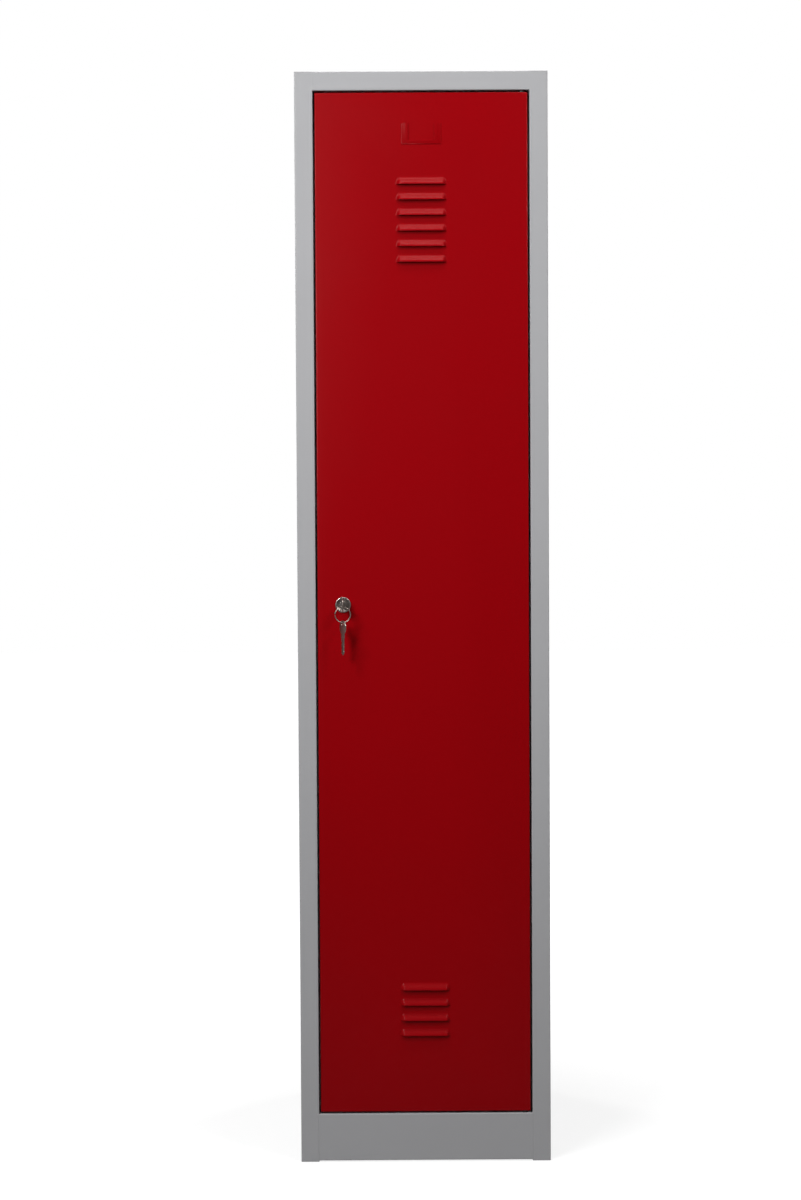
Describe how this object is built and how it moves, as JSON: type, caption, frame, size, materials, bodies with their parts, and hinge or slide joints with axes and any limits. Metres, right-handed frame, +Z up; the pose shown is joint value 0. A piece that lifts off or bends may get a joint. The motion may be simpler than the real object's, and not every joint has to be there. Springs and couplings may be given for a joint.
{
  "type": "clothing locker",
  "caption": "Tall narrow sheet-steel clothing locker with one louvred hinged door, cam lock with keys, hat shelf, coat rail and sliding hooks.",
  "frame": {"origin": "on the floor, midway between the side panels and midway between the front frame and the back flanges", "axes": "+Z up, +Y from the front to the back so that the door faces -Y, +X to the hinge side, at the right as seen from the front"},
  "size_m": [0.415, 0.5398, 1.8],
  "materials": {
    "grey_powder_coat": "semi-gloss light grey powder coat on sheet steel",
    "red_powder_coat": "semi-gloss deep red powder coat on sheet steel",
    "zinc_plate": "bright zinc plate on steel",
    "chromed_tube": "bright chrome plate on drawn steel",
    "lock_chrome": "chrome plate on die-cast zinc",
    "nickel_key": "nickel plate, worn satin",
    "wafer_brass": "stamped brass",
    "black_rubber": "matt moulded rubber",
    "black_plastic": "satin moulded plastic",
    "black_nylon": "satin moulded nylon"
  },
  "bodies": {
    "carcass": {"left_side_panel": "grey_powder_coat", "right_side_panel": "grey_powder_coat", "back_panel": "grey_powder_coat", "top_panel": "grey_powder_coat", "plinth_panel": "grey_powder_coat", "floor_panel": "grey_powder_coat", "hat_shelf": "grey_powder_coat", "pivot_plate_bottom": "zinc_plate", "pivot_plate_top": "zinc_plate", "pivot_pin_bottom": "zinc_plate", "pivot_pin_top": "zinc_plate", "door_buffers": "black_rubber", "coat_rail": "chromed_tube", "rail_bracket_left": "zinc_plate", "rail_bracket_right": "zinc_plate", "rail_rivets": "zinc_plate", "rail_end_caps": "black_plastic"},
    "door": {"door_panel": "red_powder_coat", "door_stiffener": "red_powder_coat", "card_holder": "red_powder_coat", "pivot_bush_bottom": "black_nylon", "pivot_bush_top": "black_nylon", "lock_housing": "lock_chrome", "lock_nut": "zinc_plate"},
    "lock_core": {"lock_plug": "lock_chrome", "lock_wafers": "wafer_brass", "lock_cam": "zinc_plate", "cam_screw": "zinc_plate"},
    "key": {"door_key": "nickel_key"},
    "ring": {"key_ring": "nickel_key"},
    "spare": {"spare_key": "nickel_key"},
    "hook_left": {"coat_hook_left": "chromed_tube"},
    "hook_middle": {"coat_hook_middle": "chromed_tube"},
    "hook_right": {"coat_hook_right": "chromed_tube"}
  },
  "joints": [
    {"name": "door_swing", "type": "hinge", "parent": "carcass", "child": "door", "pos_m": [0.1655, -0.241, 0.083], "axis": [0, 0, 1], "range_deg": [0, 110]},
    {"name": "lock_turn", "type": "hinge", "parent": "door", "child": "lock_core", "pos_m": [-0.1325, -0.2235, 0.927], "axis": [0, 1, 0], "range_deg": [0, 90]},
    {"name": "key_pull", "type": "slide", "parent": "lock_core", "child": "key", "axis": [0, -1, 0], "range_m": [0, 0.03]},
    {"name": "ring_swing", "type": "hinge", "parent": "key", "child": "ring", "pos_m": [-0.1325, -0.279, 0.92465], "axis": [-1, 0, 0], "range_deg": [-12, 70]},
    {"name": "spare_slide", "type": "hinge", "parent": "ring", "child": "spare", "pos_m": [-0.1325, -0.279, 0.91205], "axis": [0, 1, 0], "range_deg": [-90, 0]},
    {"name": "hook_left_slide", "type": "slide", "parent": "carcass", "child": "hook_left", "axis": [1, 0, 0], "range_m": [-0.04, 0.04]},
    {"name": "hook_middle_slide", "type": "slide", "parent": "carcass", "child": "hook_middle", "axis": [1, 0, 0], "range_m": [-0.04, 0.04]},
    {"name": "hook_right_slide", "type": "slide", "parent": "carcass", "child": "hook_right", "axis": [1, 0, 0], "range_m": [-0.04, 0.04]}
  ],
  "couplings": [
    {"joint": "spare_slide", "follows": "lock_turn", "ratio": -1}
  ]
}
